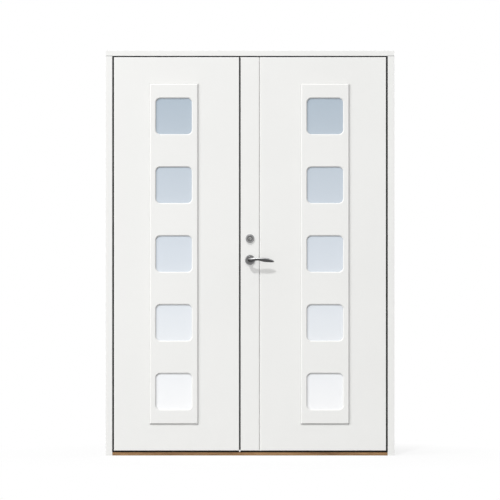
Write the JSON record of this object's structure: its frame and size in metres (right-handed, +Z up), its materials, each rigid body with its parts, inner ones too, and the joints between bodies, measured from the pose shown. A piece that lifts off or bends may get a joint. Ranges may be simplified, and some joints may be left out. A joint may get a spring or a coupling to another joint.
{
  "type": "front door",
  "caption": "White double front door in its frame: flush inward leaves, each with a raised panel and a column of square rounded panes; oak threshold, lever handle, latch and key cylinder.",
  "frame": {"origin": "middle of the threshold's underside, half way through the frame's depth", "axes": "+X to the right seen from outside, +Y from outside to inside, +Z up"},
  "size_m": [1.49, 0.2016, 2.09],
  "materials": {
    "white_paint": "satin",
    "oak": "satin",
    "aluminium": "satin",
    "black_rubber": "matte",
    "zinc_steel": "satin",
    "polished_chrome": "polished",
    "satin_steel": "satin",
    "brass": "satin",
    "pane_glass": "gloss"
  },
  "bodies": {
    "frame": {"left_jamb": "white_paint", "right_jamb": "white_paint", "head": "white_paint", "head_keep_plate": "zinc_steel", "threshold": "oak", "threshold_wear_strip": "aluminium", "outer_frame_seal": "black_rubber", "inner_frame_seal": "black_rubber", "frame_screws": "zinc_steel", "left_hinge_frame_knuckles": "satin_steel", "left_hinge_pins": "satin_steel", "left_hinge_washers": "brass", "right_hinge_frame_knuckles": "satin_steel", "right_hinge_pins": "satin_steel", "right_hinge_washers": "brass"},
    "bolted_leaf": {"bolted_leaf_slab": "white_paint", "bolted_outer_panel": "white_paint", "bolted_inner_panel": "white_paint", "bolted_glass_1": "pane_glass", "bolted_glass_2": "pane_glass", "bolted_glass_3": "pane_glass", "bolted_glass_4": "pane_glass", "bolted_glass_5": "pane_glass", "bolted_glass_spacers": "aluminium", "bolted_glazing_gaskets": "black_rubber", "bolted_bottom_seal": "black_rubber", "meeting_seal": "black_rubber", "strike_plate": "zinc_steel", "upper_flush_bolt_plate": "zinc_steel", "lower_flush_bolt_plate": "zinc_steel", "left_hinge_leaf_knuckles": "satin_steel"},
    "daily_leaf": {"daily_leaf_slab": "white_paint", "daily_outer_panel": "white_paint", "daily_inner_panel": "white_paint", "daily_glass_1": "pane_glass", "daily_glass_2": "pane_glass", "daily_glass_3": "pane_glass", "daily_glass_4": "pane_glass", "daily_glass_5": "pane_glass", "daily_glass_spacers": "aluminium", "daily_glazing_gaskets": "black_rubber", "daily_bottom_seal": "black_rubber", "lock_forend": "zinc_steel", "lock_case": "zinc_steel", "outer_rose": "polished_chrome", "inner_rose": "polished_chrome", "cylinder_housing": "satin_steel", "thumb_turn_rose": "satin_steel", "right_hinge_leaf_knuckles": "satin_steel"},
    "upper_bolt": {"upper_flush_bolt": "zinc_steel"},
    "lower_bolt": {"lower_flush_bolt": "zinc_steel"},
    "lever_set": {"outer_lever": "polished_chrome", "inner_lever": "polished_chrome", "spindle": "zinc_steel", "lock_follower": "zinc_steel"},
    "latch": {"latch_bolt": "zinc_steel"},
    "lock_turn": {"cylinder_plug": "satin_steel", "thumb_turn": "satin_steel", "deadbolt_cam": "zinc_steel"},
    "dead_bolt": {"deadbolt": "zinc_steel"}
  },
  "joints": [
    {"name": "bolted_leaf_swing", "type": "hinge", "parent": "frame", "child": "bolted_leaf", "pos_m": [-0.7315, 0.043, 1.03825], "axis": [0, 0, 1], "range_deg": [0, 105]},
    {"name": "daily_leaf_swing", "type": "hinge", "parent": "frame", "child": "daily_leaf", "pos_m": [0.7315, 0.043, 1.03825], "axis": [0, 0, -1], "range_deg": [0, 105]},
    {"name": "lever_turn", "type": "hinge", "parent": "daily_leaf", "child": "lever_set", "pos_m": [0, 0.0105, 1.01], "axis": [0, 1, 0], "range_deg": [0, 45], "stiffness_Nm_per_rad": 1, "springref_deg": -68.75},
    {"name": "latch_slide", "type": "slide", "parent": "daily_leaf", "child": "latch", "axis": [1, 0, 0], "range_m": [0, 0.012]},
    {"name": "lock_quarter_turn", "type": "hinge", "parent": "daily_leaf", "child": "lock_turn", "pos_m": [0, 0.0105, 1.12], "axis": [0, -1, 0], "range_deg": [0, 90]},
    {"name": "deadbolt_slide", "type": "slide", "parent": "daily_leaf", "child": "dead_bolt", "axis": [-1, 0, 0], "range_m": [0, 0.02]},
    {"name": "upper_bolt_slide", "type": "slide", "parent": "bolted_leaf", "child": "upper_bolt", "axis": [0, 0, 1], "range_m": [0, 0.016]},
    {"name": "lower_bolt_slide", "type": "slide", "parent": "bolted_leaf", "child": "lower_bolt", "axis": [0, 0, -1], "range_m": [0, 0.016]}
  ],
  "couplings": [
    {"joint": "latch_slide", "follows": "lever_turn", "m_per_rad": 0.015278},
    {"joint": "deadbolt_slide", "follows": "lock_quarter_turn", "m_per_rad": 0.012731}
  ]
}
